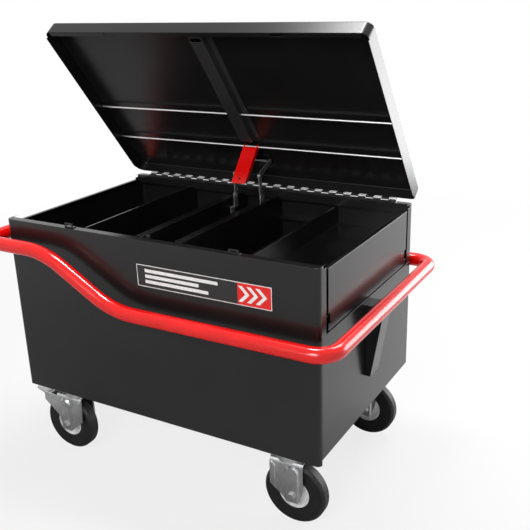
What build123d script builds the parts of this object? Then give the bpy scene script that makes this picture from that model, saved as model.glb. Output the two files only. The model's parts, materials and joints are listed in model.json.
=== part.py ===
from build123d import *
import os
from math import atan2, cos, degrees, hypot, radians, sin, tan

os.makedirs("parts", exist_ok=True)

# Rolling tool chest, millimetres. The origin is on the floor under the middle of the body.
# +X points to the fixed casters, +Y to the hinge, +Z up. The lid stands open as it is used.

# Chest body, folded from sheet
body_width = 940.0
body_depth = 590.0
wall_height = 485.0
sheet = 2.0
corner_bend = 12.0
side_top_drop = 13.0
panel_overhang = 14.0
rim_flange = 22.0
rim_lip = 27.0
lower_wrap = 13.0
upper_wrap = 36.0
wrap_drop = 8.0
rim_corner_length = 24.0
rim_corner_round = 7.5
seam_below_rim = 168.0
seam_flange = 12.0
hem = 10.0
butt_gap = 0.3
floor_flange = 23.0
floor_end_inset = 30.0

# How far a cutter runs past the faces it opens
overshoot = 1.0

# Hexagon heads and nuts
hex_sides = 6

# Right flap and its pins
flap_slit = 10.0
flap_seam = 4.0
flap_pivot_rise = 33.0
flap_pivot_inset = 12.0
flap_ear = 26.0
flap_ear_depth = 22.0
flap_notch = 11.0
flap_pin_radius = 4.0
flap_pin_head = 7.0
flap_pin_head_height = 3.0

# Partitions, ledges and tray
partition_drop = 17.0
centre_partition_x = 60.0
left_partition_x = -250.0
partition_flange = 25.0
partition_hem = 6.0
partition_flange_setback = 70.0
partition_foot = 18.0
lip_clearance = 3.0
tray_drop = 30.0
tray_height = 54.0
tray_width = 214.0
tray_side_gap = 6.0
tray_end_gap = 4.0
tray_roll = 5.0
tray_rest_gap = 0.3
ledge_width = 26.0
ledge_drop = 25.0

# Hook keepers and lock striker on the front rim
keeper_x = 250.0
keeper_width = 28.0
keeper_height = 12.0
keeper_foot = 14.0
keeper_window = 5.0
keeper_setback = 6.0
striker_width = 10.0
striker_height = 11.0
striker_depth = 7.0
striker_chamfer = 3.0

# Lid, described closed and then opened about the hinge
lid_open_angle = 52.4
lid_rise = 47.0
lid_overhang = 8.0
lid_corner = 18.0
lid_edge_round = 5.0
lid_front_gap = 7.0
lid_side_gap = 14.0
lid_rear_gap = 14.0
lid_rear_slope = 20.0
lid_return = 12.0
lid_slot_margin = 5.0
channel_width = 40.0
channel_depth = 22.0
channel_flange = 14.0
channel_end_from_hinge = 172.0
channel_slot_from_end = 12.0
channel_slot = 12.0
channel_front_gap = 8.0
rod_radius = 3.0
rod_clearance = 0.1
rod_below_top = 12.0
upper_rod_from_hinge = 275.0
lower_rod_from_hinge = 142.0

# Piano hinge
hinge_y_inset = 4.0
hinge_axis_rise = 6.0
hinge_pin_radius = 2.0
hinge_pin_clearance = 0.05
knuckle_radius = 3.5
knuckle_length = 23.0
knuckle_count = 37
knuckle_gap = 0.3
knuckle_sides = 8
leaf_width = 14.0
leaf_relief = 2.0

# Lid stay: lower arms on the chest, upper arms on the lid
stay_foot_from_hinge = 91.0
stay_foot_drop = 7.0
stay_elbow_from_hinge = 95.0
stay_elbow_rise = 57.0
stay_lid_from_hinge = 81.0
stay_lid_below_top = 12.0
arm_thickness = 2.5
arm_gap = 0.5
arm_radius = 8.0
upper_arm_inner_x = 38.0
stay_pin_radius = 3.0
stay_pin_clearance = 0.05
elbow_play = 2.2
stay_ear_radius = 11.0
stay_ear_thickness = 2.5
foot_bracket_drop = 38.0
foot_bracket_tail = 19.0
lid_bracket_length = 40.0
rivet_head_radius = 5.5
rivet_head_height = 1.5

# Red release lever on the lower rod
lever_width = 46.0
lever_length = 123.0
lever_sheet = 2.0
lever_flange = 13.0
lever_short_flange = 26.0
lever_lean = 39.4
lever_ear_radius = 7.0
lever_top_gap = 5.0
lever_hole_radius = 3.0
lever_hole_from_end = 16.0
lever_notch = 16.0

# Bumper rail and push handle
rail_radius = 19.0
rail_wall = 2.5
rail_standoff = 48.0
rail_below_seam = 13.0
rail_corner = 50.0
handle_rise = 126.0
slope_foot_x = -78.0
slope_angle = 30.0
slope_bend = 230.0
rail_joint_x = -400.0
spigot_length = 70.0
spigot_clearance = 0.1
gusset_height = 200.0
gusset_width = 54.0
gusset_foot_depth = 13.5
gusset_top_below_axis = 4.0
gusset_rear_insets = (430.0, 140.0)
weld_gap = 0.1

# Casters
caster_inset_x = 95.0
caster_inset_y = 60.0
wheel_radius = 85.0
tyre_width = 36.0
tyre_shoulder = 7.0
tyre_seat_radius = 42.0
rim_width = 32.0
rim_wall = 3.0
rim_dish = 9.0
hub_radius = 15.0
hub_length = 43.0
axle_radius = 6.0
axle_clearance = 0.05
fit_gap = 0.1
plate_length = 130.0
plate_width = 110.0
plate_thickness = 4.0
plate_corner = 10.0
bolt_spacing_x = 105.0
bolt_spacing_y = 80.0
bolt_radius = 4.0
bolt_clearance = 0.25
bolt_head_across = 13.0
bolt_head_height = 5.3
axle_head_across = 18.0
axle_head_height = 7.5
fork_thickness = 3.5
fork_side_gap = 1.0
fork_width = 92.0
fork_offset = 16.0
fork_crown_gap = 10.0
fork_shoulder = 14.0
fork_taper_rise = 20.0
fork_tip_width = 35.0
fork_tip_drop = 18.0
fork_rib_width = 40.0
fork_rib_proud = 5.0
fork_bead_width = 15.0
fork_bead_proud = 2.0
press_angle = 40.0
collar_radius = 34.0
collar_height = 26.5
swivel_trail = 30.0
swivel_gap = 0.3
race_height = 8.5
kingpin_radius = 6.0
pedal_pivot_angle = 48.65
pedal_pivot_stand = 14.9
pedal_tube_radius = 6.0
pedal_toe_length = 52.0
pedal_toe_thickness = 4.0
pedal_toe_lift = 20.0
pedal_toe_corner = 7.5
pedal_cam_radius = 13.0
pedal_pin_radius = 3.0

# Values worked out from the sizes above
half_width = body_width / 2
half_depth = body_depth / 2
fork_top = wheel_radius + fork_crown_gap + fork_thickness
caster_height = wheel_radius + fork_top + collar_height + plate_thickness
panel_bottom_z = caster_height
floor_top_z = panel_bottom_z + sheet
side_bottom_z = panel_bottom_z + panel_overhang
rim_z = side_bottom_z + wall_height
side_top_z = rim_z - side_top_drop
seam_z = rim_z - seam_below_rim
flap_pivot_z = seam_z + flap_pivot_rise
partition_top_z = rim_z - partition_drop
tray_top_z = rim_z - tray_drop
lid_top_z = rim_z + lid_rise
rail_z = seam_z - rail_below_seam
handle_z = rail_z + handle_rise
inner_x = half_width - sheet
inner_y = half_depth - sheet
rim_inner_y = half_depth - rim_flange
hinge_y = half_depth - hinge_y_inset
hinge_z = rim_z + hinge_axis_rise
lid_inner_top_z = lid_top_z - sheet
lid_half_width = half_width + lid_overhang
lid_inner_x = lid_half_width - sheet
half_hinge = knuckle_length * knuckle_count / 2
tray_bottom_z = tray_top_z - tray_height
ledge_top_z = tray_bottom_z - tray_rest_gap
lower_arm_inner_x = upper_arm_inner_x + arm_thickness + arm_gap
ear_inner_x = lower_arm_inner_x + arm_thickness + arm_gap
stay_foot_y = hinge_y - stay_foot_from_hinge
stay_foot_z = rim_z - stay_foot_drop
stay_elbow_y = hinge_y - stay_elbow_from_hinge
stay_elbow_z = rim_z + stay_elbow_rise
rod_z = lid_inner_top_z - rod_below_top
wheel_x = half_width - caster_inset_x
wheel_y = half_depth - caster_inset_y
fork_inner = hub_length / 2 + fork_side_gap
fork_outer = fork_inner + fork_thickness
race_top = fork_top + race_height
pedal_pivot_radius = wheel_radius + pedal_pivot_stand
pedal_pivot_out = pedal_pivot_radius * cos(radians(pedal_pivot_angle))
pedal_pivot_up = pedal_pivot_radius * sin(radians(pedal_pivot_angle))

lid_open = Pos(0, hinge_y, hinge_z) * Rot(-lid_open_angle, 0, 0) * Pos(0, -hinge_y, -hinge_z)


def block(x0, x1, y0, y1, z0, z1):
    """Box between two corners."""
    return Pos((x0 + x1) / 2, (y0 + y1) / 2, (z0 + z1) / 2) * Box(x1 - x0, y1 - y0, z1 - z0)


def rod_x(radius, x0, x1, y, z):
    """Round bar along X."""
    return Pos((x0 + x1) / 2, y, z) * Rot(0, 90, 0) * Cylinder(radius, x1 - x0)


def rod_y(radius, y0, y1, x, z):
    """Round bar along Y."""
    return Pos(x, (y0 + y1) / 2, z) * Rot(90, 0, 0) * Cylinder(radius, y1 - y0)


def rod_up(radius, z0, z1, x, y):
    """Round bar along Z."""
    return Pos(x, y, (z0 + z1) / 2) * Cylinder(radius, z1 - z0)


def side_plate(points, x0, x1):
    """Outline of (y, z) points, extruded from x0 to x1."""
    outline = make_face(Polyline(*points, close=True))
    return extrude(Plane.YZ.offset(x0) * outline, x1 - x0)


def front_plate(points, y0, y1):
    """Outline of (x, z) points, extruded from y0 to y1."""
    outline = make_face(Polyline(*points, close=True))
    return extrude(Plane.XZ.offset(-y0) * outline, y0 - y1)


def link(y0, z0, y1, z1, radius, x0, x1):
    """Flat bar with round ends between two pivots, from x0 to x1."""
    length = hypot(y1 - y0, z1 - z0)
    turn = degrees(atan2(z1 - z0, y1 - y0))
    centre = Pos((y0 + y1) / 2, (z0 + z1) / 2) * Rot(0, 0, turn)
    return extrude(Plane.YZ.offset(x0) * centre * SlotCenterToCenter(length, 2 * radius), x1 - x0)


def hexagon(across):
    """Hexagon of a bolt head or nut, by its width across flats."""
    return RegularPolygon(across / 2, hex_sides, major_radius=False)


def mirrored_x(shape):
    """Copy on the other side of the plane x = 0."""
    return mirror(shape, about=Plane.YZ)


def mirrored_y(shape):
    """Copy on the other side of the plane y = 0."""
    return mirror(shape, about=Plane.XZ)


def save(name, *solids):
    """Write one node, of one or several solids."""
    shape = solids[0] if len(solids) == 1 else Compound(children=list(solids))
    export_step(shape, f"parts/{name}.step")


def sleeve(z0, z1):
    """Four-walled sheet sleeve of the body's outline with bent corners."""
    outer = RectangleRounded(body_width, body_depth, corner_bend)
    inner = RectangleRounded(2 * inner_x, 2 * inner_y, corner_bend - sheet)
    return extrude(Plane.XY.offset(z0) * (outer - inner), z1 - z0)


def flap_ear_plate(y0, y1, radius):
    """Ear of a flap pivot, standing inward from the right wall, with its hole."""
    low = flap_pivot_z - flap_ear / 2
    high = flap_pivot_z + flap_ear / 2
    ear = block(half_width - flap_ear_depth, inner_x, y0, y1, low, high)
    return ear - rod_y(radius, y0 - overshoot, y1 + overshoot, half_width - flap_pivot_inset, flap_pivot_z)


def rim_corner():
    """Raised part of both corner wraps, which runs into the rim and is rounded at its end."""
    corner_end = -half_depth + rim_corner_length
    raised = block(-half_width, half_width, -half_depth, corner_end, rim_z - wrap_drop, rim_z)
    ridge = raised.edges().filter_by(Axis.X).group_by(Axis.Y)[-1].group_by(Axis.Z)[-1]
    return fillet(ridge, rim_corner_round)


def long_panel(wrap_bottom_z):
    """Front of the chest with its rim box and the wraps round both corners."""
    face_x = half_width - corner_bend
    wrap_end = -half_depth + upper_wrap
    wrap_top_z = rim_z - wrap_drop
    face = block(-face_x, face_x, -half_depth, -half_depth + corner_bend, panel_bottom_z, rim_z)
    low = block(-half_width, half_width, -half_depth, -half_depth + lower_wrap, wrap_bottom_z, seam_z)
    high = block(-half_width, half_width, -half_depth, wrap_end, seam_z, wrap_top_z)
    panel = sleeve(panel_bottom_z, rim_z) & (face + low + high + rim_corner())
    flange = Plane.XY.offset(rim_z - sheet) * RectangleRounded(2 * inner_x, 2 * inner_y, corner_bend - sheet)
    panel += extrude(flange, sheet) & block(-inner_x, inner_x, -inner_y, -rim_inner_y, rim_z - sheet, rim_z)
    panel += block(-inner_x, inner_x, -rim_inner_y - sheet, -rim_inner_y, rim_z - rim_lip, rim_z)
    panel += flap_ear_plate(wrap_end - sheet, wrap_end, flap_pin_radius)
    return panel


def left_side_panel():
    """Left wall, full height, with a hem along its top."""
    low_y = half_depth - lower_wrap - butt_gap
    high_y = half_depth - upper_wrap - butt_gap
    wall = block(-half_width, -inner_x, -low_y, low_y, side_bottom_z, seam_z)
    wall += block(-half_width, -inner_x, -high_y, high_y, seam_z, side_top_z)
    wall += block(-half_width, -half_width + hem, -high_y, high_y, side_top_z - sheet, side_top_z)
    return wall


def right_side_panel():
    """Lower right wall, flanged inward under the flap."""
    low_y = half_depth - lower_wrap - butt_gap
    wall = block(inner_x, half_width, -low_y, low_y, side_bottom_z, seam_z)
    wall += block(half_width - seam_flange, half_width, -low_y, low_y, seam_z - sheet, seam_z)
    return wall


def caster_places():
    """Centre of each caster's top plate: name, x, y."""
    places = []
    for end, x in (("right", wheel_x - fork_offset), ("left", swivel_trail - wheel_x)):
        for row, y in (("front", -wheel_y), ("rear", wheel_y)):
            places.append((f"{row}_{end}", x, y))
    return places


def bolt_places(x, y):
    """Four bolt centres of one caster plate."""
    return [
        (x + i * bolt_spacing_x / 2, y + j * bolt_spacing_y / 2)
        for i in (-1, 1)
        for j in (-1, 1)
    ]


def floor_pan():
    """Floor on the casters: turned-up front and rear edges, ends stepped up to the side panels."""
    end_x = half_width - floor_end_inset
    end_y = half_depth - lower_wrap
    step_z = (side_bottom_z, side_bottom_z + sheet)
    shelf_plan = RectangleRounded(2 * inner_x, 2 * inner_y, corner_bend)
    shelf = extrude(Plane.XY.offset(step_z[0]) * shelf_plan, sheet)
    pan = block(-end_x, end_x, -inner_y, inner_y, panel_bottom_z, floor_top_z)
    for side in (-1, 1):
        edge = sorted((side * inner_y, side * (inner_y - sheet)))
        pan += block(-end_x, end_x, *edge, panel_bottom_z, panel_bottom_z + floor_flange)
        riser = sorted((side * end_x, side * (end_x - sheet)))
        pan += block(*riser, -inner_y, inner_y, panel_bottom_z, step_z[1])
        reach = sorted((side * inner_x, side * (end_x - sheet)))
        pan += shelf & block(*reach, -inner_y, inner_y, *step_z)
        upturn = sorted((side * inner_x, side * (inner_x - sheet)))
        pan += block(*upturn, -end_y, end_y, step_z[0], step_z[0] + floor_flange)
    hole_radius = bolt_radius + bolt_clearance
    hole_z = (panel_bottom_z - overshoot, floor_top_z + overshoot)
    for _, x, y in caster_places():
        for hole_x, hole_y in bolt_places(x, y):
            pan -= rod_up(hole_radius, *hole_z, hole_x, hole_y)
    return pan


def partition(x, flange):
    """Upright partition with a top flange to the left and a foot flange on the floor."""
    lip_y = rim_inner_y - lip_clearance
    lip_z = rim_z - rim_lip - lip_clearance
    edge_y = inner_y - sheet - butt_gap
    edge_z = panel_bottom_z + floor_flange + butt_gap
    right = x + sheet / 2
    left = x - sheet / 2
    outline = [
        (-inner_y, edge_z),
        (-edge_y, edge_z),
        (-edge_y, floor_top_z),
        (edge_y, floor_top_z),
        (edge_y, edge_z),
        (inner_y, edge_z),
        (inner_y, lip_z),
        (lip_y, lip_z),
        (lip_y, partition_top_z),
        (-lip_y, partition_top_z),
        (-lip_y, lip_z),
        (-inner_y, lip_z),
    ]
    wall = side_plate(outline, left, right)
    flange_y = half_depth - partition_flange_setback
    wall += block(right - flange, right, -flange_y, flange_y, partition_top_z - sheet, partition_top_z)
    foot_y = inner_y - sheet - corner_bend
    wall += block(left - partition_foot, left, -foot_y, foot_y, floor_top_z, floor_top_z + sheet)
    return wall


def stay_notch():
    """Clearance for the right stay foot in the flange beside it."""
    reach = stay_ear_radius + lip_clearance
    right = ear_inner_x + stay_ear_thickness + lip_clearance
    high = partition_top_z + overshoot
    low = partition_top_z - sheet - overshoot
    return block(0, right, stay_foot_y - reach, stay_foot_y + reach, low, high)


def tray_ledge():
    """Angle along the front wall of the right bay, which carries the tray."""
    left = centre_partition_x + sheet / 2
    right = inner_x - corner_bend
    ledge = block(left, right, -inner_y, -inner_y + ledge_width, ledge_top_z - sheet, ledge_top_z)
    ledge += block(left, right, -inner_y, -inner_y + sheet, ledge_top_z - ledge_drop, ledge_top_z)
    return ledge


def tray_limits():
    """Left and right of the tray at rest, and its half depth."""
    right = inner_x - tray_side_gap
    return right - tray_width, right, inner_y - tray_end_gap


def tray():
    """Shallow sliding tray with a rolled edge along its left wall."""
    left, right, end_y = tray_limits()
    pan = block(left, right, -end_y, end_y, tray_bottom_z, tray_top_z)
    pan -= block(
        left + sheet, right - sheet, -end_y + sheet, end_y - sheet, tray_bottom_z + sheet, tray_top_z + 1
    )
    pan = fillet(pan.edges().filter_by(Axis.Y).group_by(Axis.Z)[0], sheet)
    roll_at = (left + sheet / 2 - tray_roll, tray_top_z - tray_roll)
    roll = rod_y(tray_roll, -end_y, end_y, *roll_at)
    roll -= rod_y(tray_roll - sheet, -end_y - overshoot, end_y + overshoot, *roll_at)
    return pan + roll


def flap():
    """Drop flap of the right side: hemmed top, notched lower corners and a pivot ear at each end."""
    end_y = half_depth - upper_wrap - flap_slit
    bottom = seam_z + flap_seam
    panel = block(inner_x, half_width, -end_y, end_y, bottom, side_top_z)
    panel += block(half_width - hem, half_width, -end_y, end_y, side_top_z - sheet, side_top_z)
    low = flap_pivot_z - flap_ear / 2
    high = flap_pivot_z + flap_ear / 2
    for side in (-1, 1):
        notch = sorted((side * end_y, side * (end_y - flap_notch)))
        panel -= block(inner_x - overshoot, half_width + overshoot, *notch, low, high)
        ear_y = sorted((side * (end_y - flap_notch), side * (end_y - flap_notch - sheet)))
        panel += flap_ear_plate(*ear_y, flap_pin_radius + hinge_pin_clearance)
    return panel


def flap_pin():
    """Shoulder pin of the flap's front ear, headed inside."""
    wrap_end = -half_depth + upper_wrap
    ear_end = wrap_end + flap_slit + flap_notch + sheet
    pivot_x = half_width - flap_pivot_inset
    pin = rod_y(flap_pin_radius, wrap_end, ear_end + flap_pin_head_height, pivot_x, flap_pivot_z)
    head_start = ear_end + butt_gap
    return pin + rod_y(flap_pin_head, head_start, head_start + flap_pin_head_height, pivot_x, flap_pivot_z)


def keeper(x):
    """Upright hook keeper with a foot on the front rim and a window for the lid's hook."""
    back = -half_depth + keeper_setback + sheet
    front = back - sheet
    top = rim_z + keeper_height
    left = x - keeper_width / 2
    right = x + keeper_width / 2
    plate = block(left, right, front, back, rim_z, top)
    plate = fillet(plate.edges().filter_by(Axis.Y).group_by(Axis.Z)[-1], keeper_window / 2)
    window_z = rim_z + keeper_height / 2
    plate -= block(
        left + keeper_window, right - keeper_window, front - overshoot, back + overshoot,
        window_z - keeper_window / 2, window_z + keeper_window / 2,
    )
    return plate + block(left, right, front, front + keeper_foot, rim_z, rim_z + sheet)


def lock_striker():
    """Small striker tongue at the middle of the front rim."""
    back = -rim_inner_y
    front = back - striker_depth
    half = striker_width / 2
    tongue = block(-half, half, front, back, rim_z, rim_z + striker_height)
    return chamfer(tongue.edges().filter_by(Axis.X).group_by(Axis.Z)[-1], striker_chamfer)


def lid_shell():
    """Lid pan: rounded corners, deeper side skirts and a slotted return along the front skirt."""
    front_z = rim_z + lid_front_gap
    side_z = side_top_z + lid_side_gap
    rear_z = rim_z + lid_rear_gap
    outer_plan = RectangleRounded(2 * lid_half_width, body_depth, lid_corner)
    outer = extrude(Plane.XY.offset(side_z) * outer_plan, lid_top_z - side_z)
    outer = fillet(outer.edges().group_by(Axis.Z)[-1], lid_edge_round)
    inner_plan = RectangleRounded(2 * lid_inner_x, 2 * inner_y, lid_corner - sheet)
    inner = extrude(Plane.XY.offset(side_z) * inner_plan, lid_inner_top_z - side_z)
    inner = fillet(inner.edges().group_by(Axis.Z)[-1], lid_edge_round - sheet)
    shell = outer - inner
    corner_y = half_depth - lid_corner
    shell -= block(-lid_half_width, lid_half_width, -half_depth, -corner_y, side_z, front_z)
    rear_cut = [
        (corner_y - lid_rear_slope, side_z),
        (half_depth, rear_z),
        (half_depth + overshoot, rear_z),
        (half_depth + overshoot, side_z - overshoot),
        (corner_y - lid_rear_slope, side_z - overshoot),
    ]
    shell -= side_plate(rear_cut, -lid_half_width - overshoot, lid_half_width + overshoot)
    return_x = lid_half_width - lid_corner
    ledge = block(-return_x, return_x, -inner_y, -inner_y + lid_return, front_z, front_z + sheet)
    slot_half = keeper_width / 2 + lid_slot_margin
    for side in (-1, 1):
        centre = side * keeper_x
        ledge -= block(
            centre - slot_half, centre + slot_half, -inner_y, -inner_y + lid_return - sheet,
            front_z - overshoot, front_z + sheet + overshoot,
        )
    return shell + ledge


def lid_channel():
    """Hat section that stiffens the lid from front to back, bored for the upper rod."""
    start = -inner_y + lid_return + channel_front_gap
    end = hinge_y - channel_end_from_hinge
    half = channel_width / 2
    top = lid_inner_top_z
    crown = top - channel_depth
    hat = block(-half, half, start, end, crown, top)
    hollow_y = (start - overshoot, end + overshoot)
    hat -= block(-half + sheet, half - sheet, *hollow_y, crown + sheet, top + overshoot)
    for side in (-1, 1):
        flange = sorted((side * (half - sheet), side * (half + channel_flange)))
        hat += block(*flange, start, end, top - sheet, top)
    slot_y = start + channel_slot_from_end
    slot_half = half - 2 * sheet
    slot_z = (crown - overshoot, crown + sheet + overshoot)
    hat -= block(-slot_half, slot_half, slot_y, slot_y + channel_slot, *slot_z)
    rod_y_place = hinge_y - upper_rod_from_hinge
    return hat - rod_x(rod_radius + rod_clearance, -half - overshoot, half + overshoot, rod_y_place, rod_z)


def cross_rod(from_hinge):
    """Straight rod between the lid's side skirts."""
    return rod_x(rod_radius, -lid_inner_x, lid_inner_x, hinge_y - from_hinge, rod_z)


def knuckle(x0, x1):
    """Rolled knuckle of the hinge, without its bore."""
    roll = Plane.YZ.offset(x0) * Pos(hinge_y, hinge_z) * RegularPolygon(knuckle_radius, knuckle_sides)
    return extrude(roll, x1 - x0)


def hinge_leaf(first, plate, tab):
    """One leaf: its plate, and a knuckle with a tab at every second place from the first."""
    leaf = plate
    for place in range(first, knuckle_count, 2):
        x0 = -half_hinge + place * knuckle_length + knuckle_gap / 2
        x1 = x0 + knuckle_length - knuckle_gap
        leaf = leaf + block(x0, x1, *tab) + knuckle(x0, x1)
    bore_end = half_hinge + overshoot
    return leaf - rod_x(hinge_pin_radius + hinge_pin_clearance, -bore_end, bore_end, hinge_y, hinge_z)


def body_leaf():
    """Leaf on the rear rim."""
    plate_end = hinge_y - knuckle_radius - leaf_relief
    plate_start = plate_end - leaf_width + leaf_relief
    plate = block(-half_hinge, half_hinge, plate_start, plate_end, rim_z, rim_z + sheet)
    return hinge_leaf(0, plate, (plate_end - sheet, hinge_y, rim_z, hinge_z - hinge_pin_radius))


def lid_leaf():
    """Leaf on the inside of the lid's rear skirt."""
    bottom = rim_z + lid_rear_gap
    plate = block(-half_hinge, half_hinge, inner_y - sheet, inner_y, bottom, bottom + leaf_width)
    return hinge_leaf(1, plate, (inner_y - sheet, inner_y, hinge_z + hinge_pin_radius, bottom + sheet))


def stay_lid_place():
    """Pivot of the upper arms, with the lid closed."""
    return hinge_y - stay_lid_from_hinge, lid_inner_top_z - stay_lid_below_top


def opened(y, z):
    """Where a point of the closed lid stands when the lid is open."""
    turn = radians(lid_open_angle)
    dy = y - hinge_y
    dz = z - hinge_z
    return hinge_y + dy * cos(turn) + dz * sin(turn), hinge_z - dy * sin(turn) + dz * cos(turn)


def lid_stay_bracket():
    """Bracket under the lid's top with two ears for the upper arms."""
    pivot_y, pivot_z = stay_lid_place()
    outer = upper_arm_inner_x - arm_gap
    inner = outer - stay_ear_thickness
    half = lid_bracket_length / 2
    base = block(-outer, outer, pivot_y - half, pivot_y + half, lid_inner_top_z - sheet, lid_inner_top_z)
    for side in (-1, 1):
        x0, x1 = sorted((side * inner, side * outer))
        ear = rod_x(stay_ear_radius, x0, x1, pivot_y, pivot_z)
        ear += block(x0, x1, pivot_y - stay_ear_radius, pivot_y + stay_ear_radius, pivot_z, lid_inner_top_z)
        base += ear & block(x0, x1, pivot_y - half, pivot_y + half, hinge_z, lid_inner_top_z)
    bore_end = outer + overshoot
    return base - rod_x(stay_pin_radius + stay_pin_clearance, -bore_end, bore_end, pivot_y, pivot_z)


def stay_lid_pin():
    """Clevis pin through the lid bracket and both upper arms."""
    pivot_y, pivot_z = stay_lid_place()
    end = lower_arm_inner_x
    return rod_x(stay_pin_radius, -end, end, pivot_y, pivot_z)


def upper_arm():
    """Right upper arm, as it stands with the lid open."""
    lid_y, lid_z = opened(*stay_lid_place())
    x0 = upper_arm_inner_x
    x1 = x0 + arm_thickness
    arm = link(lid_y, lid_z, stay_elbow_y, stay_elbow_z, arm_radius, x0, x1)
    bore = (x0 - overshoot, x1 + overshoot)
    arm -= rod_x(stay_pin_radius + stay_pin_clearance, *bore, lid_y, lid_z)
    return arm - rod_x(stay_pin_radius + elbow_play, *bore, stay_elbow_y, stay_elbow_z)


def lower_arm():
    """Right lower arm with its elbow rivet."""
    x0 = lower_arm_inner_x
    x1 = x0 + arm_thickness
    arm = link(stay_foot_y, stay_foot_z, stay_elbow_y, stay_elbow_z, arm_radius, x0, x1)
    bore = (x0 - overshoot, x1 + overshoot)
    arm -= rod_x(stay_pin_radius + stay_pin_clearance, *bore, stay_foot_y, stay_foot_z)
    arm += rod_x(stay_pin_radius, upper_arm_inner_x, x1, stay_elbow_y, stay_elbow_z)
    return arm + rod_x(rivet_head_radius, x1, x1 + rivet_head_height, stay_elbow_y, stay_elbow_z)


def foot_bracket():
    """Right foot bracket: an ear for the lower arm on a shelf from the centre partition."""
    x0 = ear_inner_x
    x1 = x0 + stay_ear_thickness
    wall_x = centre_partition_x - sheet / 2
    shelf_z = stay_foot_z - foot_bracket_drop
    y0 = stay_foot_y - stay_ear_radius
    y1 = stay_foot_y + stay_ear_radius
    bracket = rod_x(stay_ear_radius, x0, x1, stay_foot_y, stay_foot_z)
    bracket += block(x0, x1, y0, y1, shelf_z, stay_foot_z)
    bracket += block(x0, wall_x, y0, y1, shelf_z, shelf_z + sheet)
    bracket += block(wall_x - sheet, wall_x, y0, y1, shelf_z - foot_bracket_tail, shelf_z + sheet)
    return bracket - rod_x(stay_pin_radius, x0 - overshoot, x1 + overshoot, stay_foot_y, stay_foot_z)


def foot_pin():
    """Right foot pin, headed on the inside of the lower arm."""
    head_x = lower_arm_inner_x - arm_gap
    pin = rod_x(stay_pin_radius, head_x, ear_inner_x + stay_ear_thickness, stay_foot_y, stay_foot_z)
    return pin + rod_x(rivet_head_radius, head_x - rivet_head_height, head_x, stay_foot_y, stay_foot_z)


def release_lever():
    """Red lever of folded sheet, hung by two ears on the lower rod and leaning forward."""
    pivot_y, pivot_z = opened(hinge_y - lower_rod_from_hinge, rod_z)
    half = lever_width / 2
    face = -lever_ear_radius
    bottom = -lever_length
    plate = block(-half, half, face, face + lever_sheet, bottom, -lever_top_gap)
    hole_y = (face - overshoot, face + lever_sheet + overshoot)
    plate -= rod_y(lever_hole_radius, *hole_y, 0, bottom + lever_hole_from_end)
    for side in (-1, 1):
        x0, x1 = sorted((side * half, side * (half - lever_sheet)))
        reach = face + lever_flange if side > 0 else lever_ear_radius
        length = bottom + lever_notch if side > 0 else -lever_short_flange
        plate += block(x0, x1, face, reach, length, 0)
        plate += rod_x(lever_ear_radius, x0, x1, 0, 0)
    plate -= rod_x(rod_radius + rod_clearance, -half - overshoot, half + overshoot, 0, 0)
    return Pos(0, pivot_y, pivot_z) * Rot(-lever_lean, 0, 0) * plate


def tube(points, bends):
    """Round tube along straight runs and bends."""
    path = FilletPolyline(*points, radius=bends)
    ring = Circle(rail_radius) - Circle(rail_radius - rail_wall)
    return sweep(Plane(origin=path @ 0, z_dir=path % 0) * ring, path=path)


def rail_points(x, side):
    """Points of one long side of the rail, from the handle's joint to a corner at x."""
    y = side * (half_depth + rail_standoff)
    rise = handle_z - rail_z
    slope_head_x = slope_foot_x - rise / tan(radians(slope_angle))
    return [
        (rail_joint_x, y, handle_z),
        (slope_head_x, y, handle_z),
        (slope_foot_x, y, rail_z),
        (x, y, rail_z),
    ]


def bumper_rail():
    """Rail round the right end, rising on both long sides towards the handle."""
    corner_x = half_width + rail_standoff
    points = rail_points(corner_x, -1) + rail_points(corner_x, 1)[::-1]
    return tube(points, [slope_bend, slope_bend, rail_corner, rail_corner, slope_bend, slope_bend])


def push_handle():
    """Raised handle round the left end."""
    corner_x = -half_width - rail_standoff
    y = half_depth + rail_standoff
    points = [
        (rail_joint_x, -y, handle_z),
        (corner_x, -y, handle_z),
        (corner_x, y, handle_z),
        (rail_joint_x, y, handle_z),
    ]
    return tube(points, [rail_corner, rail_corner])


def spigot(side):
    """Sleeve inside a joint of rail and handle."""
    outer = rail_radius - rail_wall - spigot_clearance
    y = side * (half_depth + rail_standoff)
    ends = (rail_joint_x - spigot_length / 2, rail_joint_x + spigot_length / 2)
    return rod_x(outer, *ends, y, handle_z) - rod_x(outer - rail_wall, *ends, y, handle_z)


def gusset(axis_z):
    """Folded gusset on a wall at x = 0, under a tube that runs along Y at the stand-off."""
    top = axis_z - gusset_top_below_axis
    foot = axis_z - gusset_height

    def hull(inset):
        wide = gusset_width - 2 * inset
        head = Pos(rail_standoff / 2 - inset, 0) * Rectangle(rail_standoff, wide)
        toe = Pos(gusset_foot_depth / 2 - inset, 0) * Rectangle(gusset_foot_depth, wide)
        return loft([Plane.XY.offset(foot - inset) * toe, Plane.XY.offset(top - inset) * head])

    shell = hull(0) - hull(sheet)
    return shell - rod_y(rail_radius + weld_gap, -gusset_width, gusset_width, rail_standoff, axis_z)


def tyre():
    """Rubber tyre about the Y axis at the origin."""
    half = tyre_width / 2
    seat = rim_width / 2
    section = Polyline(
        (tyre_seat_radius, -seat),
        (wheel_radius - tyre_shoulder, -half),
        (wheel_radius, -half + tyre_shoulder),
        (wheel_radius, half - tyre_shoulder),
        (wheel_radius - tyre_shoulder, half),
        (tyre_seat_radius, seat),
        close=True,
    )
    face = make_face(section)
    corners = [v for v in face.vertices() if v.X > tyre_seat_radius + fit_gap]
    return revolve(fillet(corners, tyre_shoulder / 2), Axis.Y)


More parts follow.
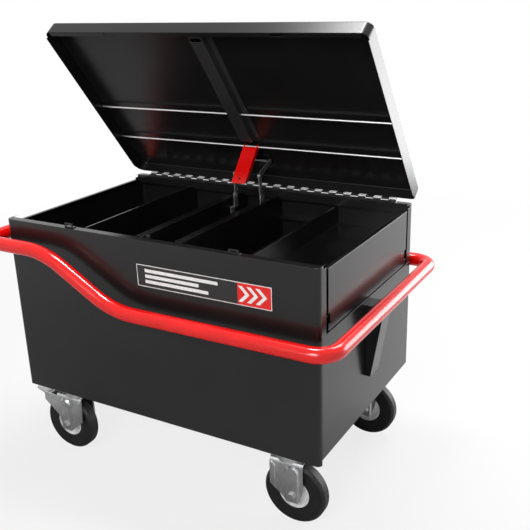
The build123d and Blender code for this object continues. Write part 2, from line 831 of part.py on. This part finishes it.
def wheel_rim():
    """Pressed rim with a dished disc and a hub, about the Y axis at the origin."""
    half = rim_width / 2
    outer = tyre_seat_radius - fit_gap
    seat = outer - rim_wall
    bore = axle_radius + axle_clearance
    section = Polyline(
        (bore, -hub_length / 2),
        (hub_radius, -hub_length / 2),
        (hub_radius, -rim_dish),
        (seat - rim_dish, -rim_wall / 2),
        (seat, -half),
        (outer, -half),
        (outer, half),
        (seat, half),
        (seat - rim_dish, rim_wall / 2),
        (hub_radius, rim_dish),
        (hub_radius, hub_length / 2),
        (bore, hub_length / 2),
        close=True,
    )
    return revolve(make_face(section), Axis.Y)


def axle():
    """Axle bolt with a hexagon head in front and a nut behind, about the Y axis at the origin."""
    grip = fork_outer + fork_rib_proud
    bolt = rod_y(axle_radius, -grip, grip + axle_head_height + axle_radius / 2, 0, 0)
    for start in (-grip - axle_head_height, grip):
        bolt += extrude(Plane.XZ.offset(-start) * hexagon(axle_head_across), -axle_head_height)
    return bolt


def fork_shell():
    """Inverted U over the wheel with rounded shoulders, not yet cut to the legs' outline."""
    reach = fork_width
    shell = block(-reach, reach, -fork_outer, fork_outer, -fork_tip_drop, fork_top)
    shell = fillet(shell.edges().filter_by(Axis.X).group_by(Axis.Z)[-1], fork_shoulder)
    bottom = -fork_tip_drop - overshoot
    hollow = block(-reach, reach, -fork_inner, fork_inner, bottom, fork_top - fork_thickness)
    crown = hollow.edges().filter_by(Axis.X).group_by(Axis.Z)[-1]
    return shell - fillet(crown, fork_shoulder - fork_thickness)


def fork_press(width, x, proud, top):
    """Relief pressed out of the front leg about x, with sloped sides and a round end below top."""
    foot = -fork_tip_drop - 2 * proud
    head = top - width / 2
    shape = Pos(x, (foot + head) / 2) * Rectangle(width, head - foot)
    shape += Pos(x, head) * Circle(width / 2)
    return extrude(Plane.XZ.offset(fork_outer) * shape, proud, taper=press_angle)


def fork():
    """Pressed fork about the axle: two legs with a rib and a beaded edge, joined over the wheel."""
    left = -fork_offset - fork_width / 2
    right = left + fork_width
    tip = fork_tip_width / 2
    outline = [
        (left, fork_top),
        (left, fork_taper_rise),
        (-tip, -fork_tip_drop),
        (tip, -fork_tip_drop),
        (right, fork_taper_rise),
        (right, fork_top),
    ]
    press_top = fork_top - fork_shoulder
    rib = fork_press(fork_rib_width, 0, fork_rib_proud, press_top)
    bead = fork_press(2 * fork_bead_width, left, fork_bead_proud, press_top)
    reach = fork_outer + fork_rib_proud + overshoot
    legs = fork_shell() + rib + mirrored_y(rib) + bead + mirrored_y(bead)
    legs &= front_plate(outline, -reach, reach)
    return legs - rod_y(axle_radius, -reach, reach, 0, 0)


def caster_plate():
    """Top plate with its bolt holes, its upper face at z = 0."""
    plan = RectangleRounded(plate_length, plate_width, plate_corner)
    for x, y in bolt_places(0, 0):
        plan -= Pos(x, y) * Circle(bolt_radius + bolt_clearance)
    return extrude(plan, -plate_thickness)


def fixed_fork():
    """Fixed caster frame about the middle of its plate, at the axle's level."""
    top = caster_height - wheel_radius
    frame = Pos(0, 0, top) * caster_plate() + Pos(fork_offset, 0, 0) * fork()
    return frame + rod_up(collar_radius, fork_top - fork_thickness, top - plate_thickness, 0, 0)


def swivel_plate():
    """Top plate of a swivel caster with its upper race, kingpin and nut, at the axle's level."""
    top = caster_height - wheel_radius
    race = race_top + swivel_gap
    nut_top = fork_top - fork_thickness - swivel_gap
    nut_bottom = nut_top - axle_head_height
    plate = Pos(0, 0, top) * caster_plate()
    plate += rod_up(collar_radius, race, top - plate_thickness, 0, 0)
    plate += rod_up(kingpin_radius, nut_bottom, race, 0, 0)
    return plate + extrude(Plane.XY.offset(nut_bottom) * hexagon(axle_head_across), axle_head_height)


def swivel_fork():
    """Trailing fork below the kingpin, with its lower race and the pedal's lugs."""
    edge = fork_offset - fork_width / 2
    pivot_x = -pedal_pivot_out
    lug_outline = [
        (pivot_x - pedal_cam_radius, pedal_pivot_up - pedal_cam_radius),
        (pivot_x - pedal_cam_radius, pedal_pivot_up + pedal_cam_radius),
        (edge + fork_thickness, fork_top - fork_shoulder),
        (edge + fork_thickness, fork_taper_rise),
    ]
    lug = front_plate(lug_outline, -fork_outer, -fork_inner)
    lug -= rod_y(pedal_pin_radius, -fork_outer - overshoot, overshoot - fork_inner, pivot_x, pedal_pivot_up)
    frame = Pos(-swivel_trail, 0, 0) * (mirrored_x(fork()) + lug + mirrored_y(lug))
    bottom = fork_top - fork_thickness
    frame += rod_up(collar_radius, bottom, race_top, 0, 0)
    return frame - rod_up(kingpin_radius + axle_clearance, bottom - overshoot, race_top + overshoot, 0, 0)


def brake_pedal():
    """Brake pedal on its pin: tube, cam towards the tyre and a lifted toe plate, about the pin."""
    half = fork_inner - fork_side_gap
    pedal = rod_y(pedal_tube_radius, -half, half, 0, 0)
    pedal += rod_y(pedal_pin_radius - axle_clearance, -fork_outer, fork_outer, 0, 0)
    cam = block(-pedal_tube_radius, pedal_tube_radius, -half, half, -pedal_cam_radius, 0)
    toe = block(-pedal_toe_length, 0, -half, half, -pedal_toe_thickness / 2, pedal_toe_thickness / 2)
    toe = fillet(toe.edges().filter_by(Axis.Z).group_by(Axis.X)[0], pedal_toe_corner)
    return pedal + cam + Rot(0, pedal_toe_lift, 0) * toe


def caster_bolt(x, y):
    """Bolt through a caster plate and the floor, with its head below and its nut above."""
    head_top = panel_bottom_z - plate_thickness
    bolt = rod_up(bolt_radius, head_top, floor_top_z + bolt_head_height, x, y)
    for start in (head_top - bolt_head_height, floor_top_z):
        head = Plane.XY.offset(start) * Pos(x, y) * hexagon(bolt_head_across)
        bolt += extrude(head, bolt_head_height)
    return bolt


# Body panels
save("front_panel", long_panel(panel_bottom_z))
save("rear_panel", mirrored_y(long_panel(side_bottom_z)))
save("left_side_panel", left_side_panel())
save("right_side_panel", right_side_panel())
save("floor_pan", floor_pan())
save("front_keepers", keeper(-keeper_x), keeper(keeper_x))
save("lock_striker", lock_striker())

# Inside of the chest
save("left_partition", partition(left_partition_x, partition_hem))
save("centre_left_partition", partition(-centre_partition_x, partition_flange))
save("centre_right_partition", partition(centre_partition_x, partition_flange) - stay_notch())
save("front_ledge", tray_ledge())
save("rear_ledge", mirrored_y(tray_ledge()))
save("tray", tray())

# Right flap
save("side_flap", flap())
save("flap_pins", flap_pin(), mirrored_y(flap_pin()))

# Lid and hinge
save("lid_shell", lid_open * lid_shell())
save("lid_channel", lid_open * lid_channel())
save("upper_rod", lid_open * cross_rod(upper_rod_from_hinge))
save("lower_rod", lid_open * cross_rod(lower_rod_from_hinge))
save("hinge_lid_leaf", lid_open * lid_leaf())
save("hinge_body_leaf", body_leaf())
save("hinge_pin", rod_x(hinge_pin_radius, -half_hinge, half_hinge, hinge_y, hinge_z))

# Stay and release lever
save("lid_stay_bracket", lid_open * lid_stay_bracket())
save("stay_lid_pin", lid_open * stay_lid_pin())
save("stay_upper_arms", upper_arm(), mirrored_x(upper_arm()))
save("stay_lower_arms", lower_arm(), mirrored_x(lower_arm()))
save("stay_foot_right", foot_bracket())
save("stay_foot_left", mirrored_x(foot_bracket()))
save("stay_foot_pins", foot_pin(), mirrored_x(foot_pin()))
save("release_lever", release_lever())

# Rail, handle and gussets
save("bumper_rail", bumper_rail())
save("push_handle", push_handle())
save("rail_spigots", spigot(-1), spigot(1))
save("right_gusset", Pos(half_width, 0, 0) * gusset(rail_z))
save("left_gusset", Pos(-half_width, 0, 0) * Rot(0, 0, 180) * gusset(handle_z))
for side_name, inset in zip(("left", "right"), gusset_rear_insets):
    gusset_x = half_width - inset
    save(f"rear_{side_name}_gusset", Pos(gusset_x, half_depth, 0) * Rot(0, 0, 90) * gusset(rail_z))

# Casters
for caster_name, plate_x, plate_y in caster_places():
    plate_at = Pos(plate_x, plate_y, wheel_radius)
    if plate_x > 0:
        wheel_at = plate_at * Pos(fork_offset, 0, 0)
        save(f"{caster_name}_fork", plate_at * fixed_fork())
    else:
        wheel_at = plate_at * Pos(-swivel_trail, 0, 0)
        save(f"{caster_name}_plate", plate_at * swivel_plate())
        save(f"{caster_name}_fork", plate_at * swivel_fork())
        pedal_at = wheel_at * Pos(-pedal_pivot_out, 0, pedal_pivot_up)
        save(f"{caster_name}_pedal", pedal_at * brake_pedal())
    save(f"{caster_name}_axle", wheel_at * axle())
    save(f"{caster_name}_tyre", wheel_at * tyre())
    save(f"{caster_name}_rim", wheel_at * wheel_rim())
save("caster_bolts", *[caster_bolt(*place) for _, x, y in caster_places() for place in bolt_places(x, y)])
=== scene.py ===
import json
import math
import bmesh
import bpy
from mathutils import Matrix, Vector


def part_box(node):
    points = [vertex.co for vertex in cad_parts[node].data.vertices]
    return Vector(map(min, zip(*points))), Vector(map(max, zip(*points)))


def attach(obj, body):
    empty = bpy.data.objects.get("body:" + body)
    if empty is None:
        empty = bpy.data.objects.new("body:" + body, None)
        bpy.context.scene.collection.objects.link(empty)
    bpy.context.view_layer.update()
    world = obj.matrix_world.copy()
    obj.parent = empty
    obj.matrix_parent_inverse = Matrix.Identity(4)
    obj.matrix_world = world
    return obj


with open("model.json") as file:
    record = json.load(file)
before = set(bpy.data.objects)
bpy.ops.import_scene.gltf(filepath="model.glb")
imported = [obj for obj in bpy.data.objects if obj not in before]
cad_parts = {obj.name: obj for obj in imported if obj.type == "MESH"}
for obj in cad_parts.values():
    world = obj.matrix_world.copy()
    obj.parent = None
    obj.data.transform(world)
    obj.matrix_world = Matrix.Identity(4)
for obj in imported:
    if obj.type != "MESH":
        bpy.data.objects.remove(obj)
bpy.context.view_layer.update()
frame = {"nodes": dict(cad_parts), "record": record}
nodes = frame["nodes"]
scene = bpy.context.scene
scene.view_settings.view_transform = "Standard"


class Graph:
    """Short helper for one material's nodes."""

    def __init__(self, name):
        self.material = bpy.data.materials.new(name)
        self.material.use_nodes = True
        self.tree = self.material.node_tree
        self.shader = self.tree.nodes["Principled BSDF"]
        self.out = self.tree.nodes["Material Output"]

    def add(self, kind, **inputs):
        node = self.tree.nodes.new(kind)
        for key, value in inputs.items():
            node.inputs[key.replace("_", " ")].default_value = value
        return node

    def link(self, source, target):
        self.tree.links.new(source, target)

    def place(self):
        """Object coordinates, which are the frame's own metres."""
        return self.add("ShaderNodeTexCoord").outputs["Object"]

    def axes(self):
        """Object coordinates as three values."""
        split = self.add("ShaderNodeSeparateXYZ")
        self.link(self.place(), split.inputs["Vector"])
        return split.outputs["X"], split.outputs["Y"], split.outputs["Z"]

    def noise(self, scale, detail=4.0, roughness=0.55, stretch=(1, 1, 1)):
        """Object-space noise, so the pattern keeps its real size."""
        mapping = self.add("ShaderNodeMapping")
        mapping.inputs["Scale"].default_value = stretch
        self.link(self.place(), mapping.inputs["Vector"])
        noise = self.add("ShaderNodeTexNoise", Scale=scale, Detail=detail, Roughness=roughness)
        self.link(mapping.outputs["Vector"], noise.inputs["Vector"])
        return noise.outputs["Fac"]

    def ramp(self, source, low, high, low_color, high_color):
        ramp = self.add("ShaderNodeValToRGB")
        ramp.color_ramp.elements[0].position = low
        ramp.color_ramp.elements[0].color = (*low_color, 1)
        ramp.color_ramp.elements[1].position = high
        ramp.color_ramp.elements[1].color = (*high_color, 1)
        self.link(source, ramp.inputs["Fac"])
        return ramp.outputs["Color"]

    def span(self, source, low, high, start=0.0, end=1.0):
        """Map start..end to low..high."""
        span = self.add("ShaderNodeMapRange")
        span.inputs["From Min"].default_value = start
        span.inputs["From Max"].default_value = end
        span.inputs["To Min"].default_value = low
        span.inputs["To Max"].default_value = high
        self.link(source, span.inputs["Value"])
        return span.outputs["Result"]

    def math(self, operation, *values):
        node = self.add("ShaderNodeMath")
        node.operation = operation
        for socket, value in zip(node.inputs, values):
            if hasattr(value, "links"):
                self.link(value, socket)
            else:
                socket.default_value = value
        return node.outputs["Value"]

    def blend(self, share, first, second):
        """Mix of two colours by a share."""
        mix = self.add("ShaderNodeMix")
        mix.data_type = "RGBA"
        self.link(share, mix.inputs["Factor"])
        for socket, value in ((mix.inputs[6], first), (mix.inputs[7], second)):
            if hasattr(value, "links"):
                self.link(value, socket)
            else:
                socket.default_value = (*value, 1)
        return mix.outputs[2]

    def bump(self, source, strength, distance):
        bump = self.add("ShaderNodeBump", Strength=strength, Distance=distance)
        self.link(source, bump.inputs["Height"])
        self.link(bump.outputs["Normal"], self.shader.inputs["Normal"])

    def feed(self, socket, source):
        self.link(source, self.shader.inputs[socket])


def black_paint(name, shade, roughness, ior):
    """Satin black powder coat with fine orange peel. The shade is that of its darkest places."""
    g = Graph(name)
    dark = (shade, shade, shade * 1.06)
    pale = (shade * 1.45, shade * 1.45, shade * 1.5)
    g.feed("Base Color", g.ramp(g.noise(9.0), 0.3, 0.7, dark, pale))
    g.feed("Roughness", g.span(g.noise(14.0, 3.0), roughness, roughness + 0.035))
    g.bump(g.noise(1100.0, 2.0), 0.02, 0.0003)
    g.shader.inputs["IOR"].default_value = ior
    return g.material


def red_paint():
    """Gloss red enamel."""
    g = Graph("red_enamel")
    g.feed("Base Color", g.ramp(g.noise(14.0), 0.3, 0.7, (0.64, 0.001, 0.0008), (0.74, 0.002, 0.001)))
    g.feed("Roughness", g.span(g.noise(30.0, 2.0), 0.16, 0.19))
    g.bump(g.noise(500.0, 2.0), 0.006, 0.0002)
    return g.material


def zinc():
    """Bright zinc plate with a faint cloudy passivation and drawing marks."""
    g = Graph("zinc_plate")
    g.feed("Base Color", g.ramp(g.noise(26.0), 0.3, 0.7, (0.42, 0.424, 0.43), (0.6, 0.603, 0.608)))
    g.feed("Roughness", g.span(g.noise(90.0, 5.0, stretch=(1, 1, 0.12)), 0.18, 0.34))
    g.bump(g.noise(420.0, 3.0, stretch=(1, 1, 0.15)), 0.08, 0.0003)
    g.shader.inputs["Metallic"].default_value = 1.0
    return g.material


def dull_steel():
    """Dull dark zinc of the stay's arms."""
    g = Graph("dull_zinc")
    g.feed("Base Color", g.ramp(g.noise(40.0), 0.3, 0.7, (0.2, 0.2, 0.205), (0.3, 0.3, 0.305)))
    g.feed("Roughness", g.span(g.noise(160.0, 4.0), 0.4, 0.55))
    g.bump(g.noise(600.0, 3.0), 0.08, 0.0003)
    g.shader.inputs["Metallic"].default_value = 0.8
    return g.material


def bright_rod():
    """Drawn bright steel."""
    g = Graph("drawn_steel")
    drawn = g.noise(30.0, stretch=(0.1, 1, 1))
    g.feed("Base Color", g.ramp(drawn, 0.3, 0.7, (0.72, 0.72, 0.72), (0.86, 0.86, 0.86)))
    g.feed("Roughness", g.span(g.noise(200.0, stretch=(0.05, 1, 1)), 0.3, 0.45))
    g.bump(g.noise(900.0, 2.0, stretch=(0.05, 1, 1)), 0.05, 0.0002)
    g.shader.inputs["Metallic"].default_value = 1.0
    return g.material


def wheel_radius_field(g):
    """Distance from the axle: all four wheels stand alike on both sides of the middle."""
    x, _, z = g.axes()
    across = g.math("SUBTRACT", g.math("ABSOLUTE", x), wheel_place[0])
    up = g.math("SUBTRACT", z, wheel_place[1])
    return g.math("SQRT", g.math("ADD", g.math("MULTIPLY", across, across), g.math("MULTIPLY", up, up)))


def rubber():
    """Black solid rubber with moulded rings on its walls and a greyer tread."""
    g = Graph("tyre_rubber")
    radius = wheel_radius_field(g)
    wall = g.ramp(g.noise(40.0), 0.3, 0.7, (0.006, 0.006, 0.0064), (0.0105, 0.0105, 0.0109))
    tread = g.ramp(g.noise(120.0), 0.3, 0.7, (0.018, 0.018, 0.0184), (0.028, 0.028, 0.0284))
    g.feed("Base Color", g.blend(g.span(radius, 0.0, 1.0, 0.077, 0.084), wall, tread))
    g.feed("Roughness", g.span(g.noise(150.0, 6.0), 0.4, 0.58))
    g.shader.inputs["Specular IOR Level"].default_value = 0.28
    rings = g.math("SINE", g.math("MULTIPLY", radius, 900.0))
    near_rim = g.span(radius, 1.0, 0.0, 0.046, 0.058)
    grain = g.math("MULTIPLY", g.noise(900.0, 4.0), 0.35)
    g.bump(g.math("ADD", g.math("MULTIPLY", rings, near_rim), grain), 0.35, 0.0006)
    return g.material


def within(g, value, low, high):
    """One between two limits, else zero."""
    return g.math("MULTIPLY", g.math("GREATER_THAN", value, low), g.math("LESS_THAN", value, high))


def hinge_finish():
    """Painted leaf with bare zinc knuckles."""
    g = Graph("hinge_finish")
    _, y, _ = g.axes()
    bare = g.span(y, 0.0, 1.0, hinge_front - 0.0003, hinge_front + 0.0003)
    worn = g.ramp(g.noise(60.0), 0.3, 0.7, (0.36, 0.36, 0.37), (0.5, 0.5, 0.51))
    painted = g.ramp(g.noise(20.0), 0.3, 0.7, (0.009, 0.009, 0.0095), (0.013, 0.013, 0.0135))
    g.feed("Base Color", g.blend(bare, painted, worn))
    g.feed("Metallic", bare)
    g.feed("Roughness", g.span(g.noise(140.0, 4.0), 0.28, 0.4))
    g.bump(g.noise(700.0, 2.0), 0.03, 0.0003)
    return g.material


def label_print(left, right, low, high):
    """Plain printed plate: pale frame on a dark field, pale bars and a red end block."""
    g = Graph("label_print")
    x, _, z = g.axes()

    def patch(x0, x1, z0, z1):
        return g.math("MULTIPLY", within(g, x, x0, x1), within(g, z, z0, z1))

    edge = 0.0022
    line = 0.0040
    pale = g.ramp(g.noise(120.0), 0.3, 0.7, (0.68, 0.68, 0.67), (0.82, 0.82, 0.81))
    dark = g.ramp(g.noise(60.0), 0.3, 0.7, (0.006, 0.006, 0.006), (0.012, 0.012, 0.012))
    red = g.ramp(g.noise(60.0), 0.3, 0.7, (0.6, 0.006, 0.004), (0.72, 0.012, 0.008))
    color = g.blend(patch(left + edge, right - edge, low + edge, high - edge), dark, pale)
    color = g.blend(patch(left + line, right - line, low + line, high - line), color, dark)
    wide = right - left
    tall = high - low
    block_left = right - 0.24 * wide
    color = g.blend(patch(block_left, right - line, low + line, high - line), color, red)
    bars = ((0.07, 0.62, 0.66, 0.80), (0.07, 0.48, 0.43, 0.57), (0.07, 0.55, 0.20, 0.34))
    for start, end, bottom, top in bars:
        bar = patch(left + start * wide, left + end * wide, low + bottom * tall, low + top * tall)
        color = g.blend(bar, color, pale)
    chevron = g.math("ABSOLUTE", g.math("SUBTRACT", z, (low + high) / 2))
    slanted = g.math("ADD", x, chevron)
    for step in (0.055, 0.115, 0.175):
        start = block_left + step * wide
        band = within(g, slanted, start, start + 0.028 * wide)
        arm = g.math("MULTIPLY", band, within(g, chevron, -1.0, 0.32 * tall))
        color = g.blend(arm, color, pale)
    g.feed("Base Color", color)
    g.feed("Roughness", g.span(g.noise(180.0, 3.0), 0.3, 0.42))
    g.bump(g.noise(900.0, 2.0), 0.02, 0.0002)
    return g.material


def rim_steel():
    """Pale zinc-plated pressed rim."""
    g = Graph("rim_steel")
    g.feed("Base Color", g.ramp(g.noise(35.0), 0.3, 0.7, (0.8, 0.8, 0.8), (0.92, 0.92, 0.92)))
    g.feed("Roughness", g.span(g.noise(120.0, 5.0), 0.34, 0.52))
    g.bump(g.noise(500.0, 3.0), 0.06, 0.0003)
    g.shader.inputs["Metallic"].default_value = 0.35
    return g.material


tyre_low, tyre_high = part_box("front_right_tyre")
wheel_place = ((tyre_low[0] + tyre_high[0]) / 2, (tyre_low[2] + tyre_high[2]) / 2)
materials = {
    "black_paint": black_paint("black_powder_coat", 0.0062, 0.2, 1.42),
    "red_paint": red_paint(),
    "zinc": zinc(),
    "tyre": rubber(),
    "rim": rim_steel(),
}
_, leaf_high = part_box("hinge_body_leaf")
knuckle_depth = 0.0072
hinge_front = leaf_high[1] - knuckle_depth
hinge_material = hinge_finish()
rod_material = bright_rod()
lid_material = black_paint("lid_powder_coat", 0.006, 0.27, 1.32)
# The lid channel wears the same black coat as the lid, but painted about three times lighter: painted light
# for its brighter lit crown.
channel_painted_lighter_material = black_paint("channel_coat_painted_lighter", 0.02, 0.3, 1.42)
stay_material = dull_steel()
slot_of = {part["node"]: part["material_slot"] for part in frame["record"]["subparts"]}

for name, obj in nodes.items():
    material = materials[slot_of[name]]
    if name in ("upper_rod", "lower_rod"):
        material = rod_material
    if name.startswith("stay_"):
        material = stay_material
    if name == "lid_shell":
        material = lid_material
    if name == "lid_channel":
        material = channel_painted_lighter_material
    if name == "hinge_body_leaf":
        material = hinge_material
    if name == "hinge_lid_leaf":
        material = materials["black_paint"]
    obj.data.materials.clear()
    obj.data.materials.append(material)


def smooth_by_angle():
    """Node group that shades smooth across edges flatter than thirty-five degrees."""
    group = bpy.data.node_groups.new("smooth_by_angle", "GeometryNodeTree")
    group.interface.new_socket("Geometry", in_out="INPUT", socket_type="NodeSocketGeometry")
    group.interface.new_socket("Geometry", in_out="OUTPUT", socket_type="NodeSocketGeometry")
    start = group.nodes.new("NodeGroupInput")
    end = group.nodes.new("NodeGroupOutput")
    faces = group.nodes.new("GeometryNodeSetShadeSmooth")
    edges = group.nodes.new("GeometryNodeSetShadeSmooth")
    edges.domain = "EDGE"
    angle = group.nodes.new("GeometryNodeInputMeshEdgeAngle")
    flat = group.nodes.new("FunctionNodeCompare")
    flat.operation = "LESS_THAN"
    flat.inputs["B"].default_value = math.radians(35)
    group.links.new(start.outputs["Geometry"], faces.inputs["Geometry"])
    group.links.new(faces.outputs["Geometry"], edges.inputs["Geometry"])
    group.links.new(angle.outputs["Unsigned Angle"], flat.inputs["A"])
    group.links.new(flat.outputs["Result"], edges.inputs["Shade Smooth"])
    group.links.new(edges.outputs["Geometry"], end.inputs["Geometry"])
    return group


smooth_group = smooth_by_angle()


def soften(obj, width):
    """Rolled sheet edges: a small round on every sharp edge, which catches the light."""
    weld = obj.modifiers.new("weld", "WELD")
    weld.merge_threshold = 0.00001
    bevel = obj.modifiers.new("round", "BEVEL")
    bevel.width = width
    bevel.segments = 3
    bevel.limit_method = "ANGLE"
    bevel.angle_limit = math.radians(40)
    bevel.use_clamp_overlap = False
    shade = obj.modifiers.new("shade", "NODES")
    shade.node_group = smooth_group
    weighted = obj.modifiers.new("weighted", "WEIGHTED_NORMAL")
    weighted.keep_sharp = True


edge_rounds = {
    0.0009: [
        "front_panel", "rear_panel", "left_side_panel", "right_side_panel", "left_partition",
        "centre_left_partition", "centre_right_partition", "tray", "side_flap", "lid_shell", "release_lever",
        "lid_channel", "right_gusset", "left_gusset", "rear_left_gusset", "rear_right_gusset",
    ],
    0.0006: [
        "front_keepers", "lock_striker", "stay_lower_arms", "stay_upper_arms",
        "stay_foot_right", "stay_foot_left",
    ],
}
for width, names in edge_rounds.items():
    for name in names:
        soften(nodes[name], width)


def label_plate(left, right, low, high, wall, thick, corner):
    """Thin printed plate with round corners, riding on the front of the chest."""
    mesh = bpy.data.meshes.new("label_plate")
    shape = bmesh.new()
    outline = []
    centres = (
        (right - corner, low + corner), (right - corner, high - corner),
        (left + corner, high - corner), (left + corner, low + corner),
    )
    for quarter, (cx, cz) in enumerate(centres):
        for step in range(7):
            turn = math.radians(-90 + 90 * quarter + 15 * step)
            x = cx + corner * math.cos(turn)
            z = cz + corner * math.sin(turn)
            outline.append(shape.verts.new((x, wall - thick, z)))
    face = shape.faces.new(outline)
    grown = bmesh.ops.extrude_face_region(shape, geom=[face])
    moved = [v for v in grown["geom"] if isinstance(v, bmesh.types.BMVert)]
    bmesh.ops.translate(shape, verts=moved, vec=(0, thick - 0.0001, 0))
    bmesh.ops.recalc_face_normals(shape, faces=shape.faces)
    shape.to_mesh(mesh)
    shape.free()
    plate = bpy.data.objects.new("label_plate", mesh)
    scene.collection.objects.link(plate)
    rim = plate.modifiers.new("rim", "BEVEL")
    rim.width = 0.0002
    rim.segments = 2
    rim.limit_method = "ANGLE"
    mesh.materials.append(label_print(left, right, low, high))
    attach(plate, "chest")


front_low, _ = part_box("front_panel")
label_plate(left=-0.033, right=0.354, low=0.5915, high=0.653, wall=front_low[1], thick=0.0008, corner=0.003)


# Camera at the photograph's place
camera_data = bpy.data.cameras.new("camera")
camera = bpy.data.objects.new("camera", camera_data)
scene.collection.objects.link(camera)
image_width = 530
focal_pixels = 777.6
camera_data.sensor_width = 36.0
camera_data.lens = camera_data.sensor_width * focal_pixels / image_width
azimuth = math.radians(-30.2)
elevation = math.radians(19.72)
roll = math.radians(1.74)
forward = Vector((
    math.sin(azimuth) * math.cos(elevation), math.cos(azimuth) * math.cos(elevation), -math.sin(elevation),
))
level = Vector((math.cos(azimuth), -math.sin(azimuth), 0.0))
down = forward.cross(level)
right = math.cos(roll) * level + math.sin(roll) * down
below = -math.sin(roll) * level + math.cos(roll) * down
camera.matrix_world = Matrix((
    (right.x, -below.x, -forward.x, 1.1549),
    (right.y, -below.y, -forward.y, -1.7015),
    (right.z, -below.z, -forward.z, 1.2859),
    (0, 0, 0, 1),
))
camera_data.clip_end = 100
scene.camera = camera


def white_share(tree, camera_share, glossy_share):
    """Share of plain white by the kind of ray, for the floor and the world."""
    path = tree.nodes.new("ShaderNodeLightPath")
    shares = []
    amounts = {
        "Is Camera Ray": camera_share,
        "Is Glossy Ray": glossy_share,
        "Is Transmission Ray": glossy_share,
    }
    for kind, amount in amounts.items():
        part = tree.nodes.new("ShaderNodeMath")
        part.operation = "MULTIPLY"
        part.inputs[1].default_value = amount
        tree.links.new(path.outputs[kind], part.inputs[0])
        shares.append(part.outputs["Value"])
    total = shares[0]
    for part in shares[1:]:
        larger = tree.nodes.new("ShaderNodeMath")
        larger.operation = "MAXIMUM"
        tree.links.new(total, larger.inputs[0])
        tree.links.new(part, larger.inputs[1])
        total = larger.outputs["Value"]
    return total


def floor_material():
    """Floor seen nearly white, with a soft shadow, and mirrored whiter the further it lies from the chest."""
    g = Graph("studio_floor")
    g.shader.inputs["Base Color"].default_value = (0.5, 0.5, 0.5, 1)
    g.shader.inputs["Roughness"].default_value = 0.9
    g.shader.inputs["Specular IOR Level"].default_value = 0.1
    glow = g.add("ShaderNodeEmission", Strength=1.0)
    mix = g.add("ShaderNodeMixShader")
    x, y, _ = g.axes()
    reach = g.math("SQRT", g.math("ADD", g.math("MULTIPLY", x, x), g.math("MULTIPLY", y, y)))
    seen = g.math("MULTIPLY", g.span(reach, 0.8, 1.0, 0.9, 3.2), white_share(g.tree, 1.0, 0.0))
    mirrored = g.math("MULTIPLY", g.span(reach, 0.0, 1.0, 1.1, 3.2), white_share(g.tree, 0.0, 1.0))
    g.link(g.math("MAXIMUM", seen, mirrored), mix.inputs["Fac"])
    g.link(g.shader.outputs["BSDF"], mix.inputs[1])
    g.link(glow.outputs["Emission"], mix.inputs[2])
    g.link(mix.outputs["Shader"], g.out.inputs["Surface"])
    return g.material


bpy.ops.mesh.primitive_plane_add(size=60, location=(0, 0, 0))
floor = bpy.context.object
floor.name = "studio_floor"
floor.data.materials.append(floor_material())

world = bpy.data.worlds.new("studio")
scene.world = world
world.use_nodes = True
tree = world.node_tree
background = tree.nodes["Background"]
background.inputs["Color"].default_value = (0.09, 0.09, 0.09, 1)
white = tree.nodes.new("ShaderNodeBackground")
white.inputs["Color"].default_value = (1, 1, 1, 1)
mix = tree.nodes.new("ShaderNodeMixShader")
tree.links.new(white_share(tree, 1.0, 1.0), mix.inputs["Fac"])
tree.links.new(background.outputs["Background"], mix.inputs[1])
tree.links.new(white.outputs["Background"], mix.inputs[2])
tree.links.new(mix.outputs["Shader"], tree.nodes["World Output"].inputs["Surface"])


def softbox(name, place, aim, size, power, spread):
    """Rectangular area light looking at a point, its beam held to a spread in degrees."""
    data = bpy.data.lights.new(name, "AREA")
    data.shape = "RECTANGLE"
    data.size, data.size_y = size
    data.energy = power
    data.spread = math.radians(spread)
    lamp = bpy.data.objects.new(name, data)
    scene.collection.objects.link(lamp)
    lamp.location = place
    lamp.rotation_euler = (Vector(aim) - Vector(place)).to_track_quat("-Z", "Y").to_euler()
    lamp.visible_camera = False


softbox("rear_softbox", (0.6, 2.0, 3.2), (0.0, 0, 0.5), (1.8, 1.4), 90, 180)
softbox("strip_softbox", (-0.2, 0.45, 3.6), (0.2, 0, 1.0), (0.96, 0.5), 100, 180)
softbox("right_softbox", (2.0, 2.5, 0.9), (0.45, 0, 0.5), (2.4, 1.6), 92, 180)
softbox("front_softbox", (0.5, -2.8, 2.5), (0.05, 0, 0.95), (1.2, 1.0), 7, 55)
softbox("fill_softbox", (0.35, -2.9, 1.7), (0.1, -0.2, 0.6), (2.2, 0.9), 31, 180)
